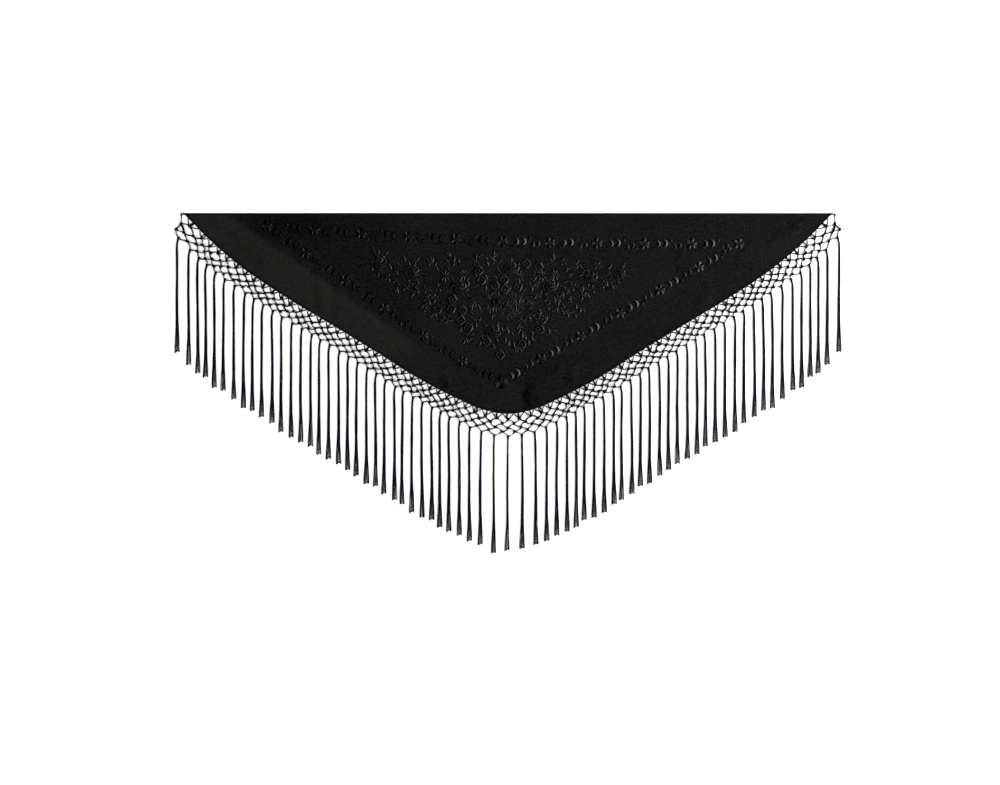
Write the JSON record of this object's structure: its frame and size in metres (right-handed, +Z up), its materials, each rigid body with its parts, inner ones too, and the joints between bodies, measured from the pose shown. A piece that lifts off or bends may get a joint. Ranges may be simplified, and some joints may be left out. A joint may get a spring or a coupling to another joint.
{
  "type": "flamenco shawl",
  "caption": "Three-cornered black crepe dance shawl with raised black flower embroidery, a hand-knotted net and a long tassel fringe, laid out flat.",
  "frame": {"origin": "middle of the base: halfway between the tips of the cloth and halfway from its upper edge to the lowest tassel, on the surface it lies on", "axes": "+X along the straight upper edge towards the right tip, +Y from the point of the cloth towards the upper edge, +Z up from the surface"},
  "size_m": [1.539, 0.7868, 0.0089],
  "materials": {
    "crepe": "black woven crepe, matt with a faint silky sheen",
    "hem": "rolled and hand-sewn hem of the same black crepe",
    "yarn": "twisted black rayon yarn with a soft lustre"
  },
  "bodies": {
    "root": {"cloth_panel": "crepe", "hem_upper": "hem", "hem_left": "hem", "hem_right": "hem", "net_left": "yarn", "net_right": "yarn", "fringe_01": "yarn", "fringe_02": "yarn", "fringe_03": "yarn", "fringe_04": "yarn", "fringe_05": "yarn", "fringe_06": "yarn", "fringe_07": "yarn", "fringe_08": "yarn", "fringe_09": "yarn", "fringe_10": "yarn", "fringe_11": "yarn"}
  },
  "joints": []
}
